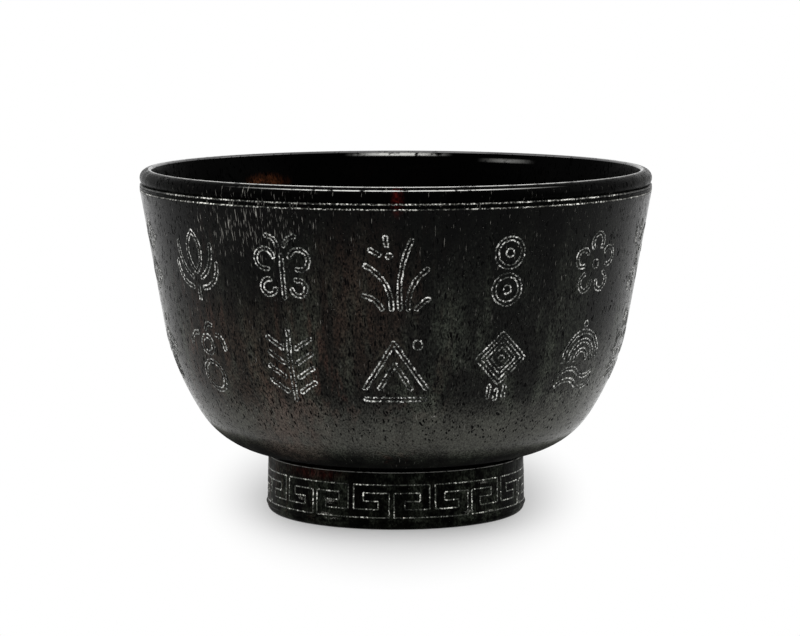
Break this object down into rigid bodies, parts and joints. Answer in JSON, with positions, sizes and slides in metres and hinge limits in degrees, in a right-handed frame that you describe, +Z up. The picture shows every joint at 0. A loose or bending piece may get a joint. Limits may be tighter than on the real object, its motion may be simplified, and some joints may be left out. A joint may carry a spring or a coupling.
{
  "type": "footed wooden cup",
  "caption": "Small turned dark rosewood cup with a rounded lip on a separate foot ring, inlaid with silver wire: hoops under the lip, ornaments round the wall and a key fret on the foot.",
  "frame": {"origin": "centre of the foot ring's underside", "axes": "+Z up along the turning axis, -Y the pictured front, +X to the right seen from the front"},
  "size_m": [0.0834, 0.0834, 0.0562],
  "materials": {
    "rosewood": "polished near-black rosewood with fine open pores",
    "silver": "hammered silver wire, dulled with age"
  },
  "bodies": {
    "root": {"cup_bowl": "rosewood", "foot_ring": "rosewood", "rim_wire_upper": "silver", "rim_wire_lower": "silver", "fret_wire_01": "silver", "fret_wire_02": "silver", "fret_wire_03": "silver", "fret_wire_04": "silver", "fret_wire_05": "silver", "fret_wire_06": "silver", "fret_wire_07": "silver", "fret_wire_08": "silver", "fret_wire_09": "silver", "fret_wire_10": "silver", "inlay_orchid_first": "silver", "inlay_orchid_second": "silver", "inlay_double_coin_first": "silver", "inlay_double_coin_second": "silver", "inlay_plum_blossom_first": "silver", "inlay_plum_blossom_second": "silver", "inlay_bamboo_first": "silver", "inlay_bamboo_second": "silver", "inlay_lozenges_first": "silver", "inlay_lozenges_second": "silver", "inlay_lotus_first": "silver", "inlay_lotus_second": "silver", "inlay_butterfly_first": "silver", "inlay_butterfly_second": "silver", "inlay_mountains_first": "silver", "inlay_mountains_second": "silver", "inlay_endless_knot_first": "silver", "inlay_endless_knot_second": "silver", "inlay_waves_first": "silver", "inlay_waves_second": "silver", "inlay_ruyi_cloud_first": "silver", "inlay_ruyi_cloud_second": "silver", "inlay_chime_first": "silver", "inlay_chime_second": "silver", "inlay_gourd_first": "silver", "inlay_gourd_second": "silver", "inlay_pine_spray_first": "silver", "inlay_pine_spray_second": "silver"}
  },
  "joints": []
}
